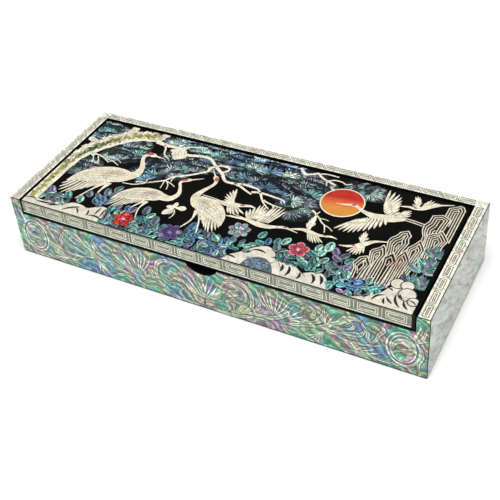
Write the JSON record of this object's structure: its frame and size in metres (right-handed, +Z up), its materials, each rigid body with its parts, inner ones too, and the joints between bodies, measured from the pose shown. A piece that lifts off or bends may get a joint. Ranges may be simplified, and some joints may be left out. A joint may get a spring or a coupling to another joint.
{
  "type": "pen case",
  "caption": "Long shallow lacquered pen case with shell inlay, an inset lid that swings up on two side pins, and a thumb notch in the front.",
  "frame": {"origin": "on the underside, below the middle of the case", "axes": "+X along the length to the right-hand end, +Y to the back with the hinge, +Z up"},
  "size_m": [0.2606, 0.1, 0.042],
  "materials": {
    "black_lacquer": "polished black lacquer",
    "abalone_veneer": "polished abalone shell on wood",
    "grey_shell_veneer": "polished grey shell on wood",
    "brass": "polished"
  },
  "bodies": {
    "case": {"front_wall": "abalone_veneer", "back_wall": "grey_shell_veneer", "end_wall_left": "grey_shell_veneer", "end_wall_right": "grey_shell_veneer", "bottom_board": "black_lacquer", "hinge_pin_left": "brass", "hinge_pin_right": "brass"},
    "lid": {"lid_board": "black_lacquer"}
  },
  "joints": [
    {"name": "lid_hinge", "type": "hinge", "parent": "case", "child": "lid", "pos_m": [0, 0.0374, 0.0372], "axis": [-1, 0, 0], "range_deg": [0, 95]}
  ]
}
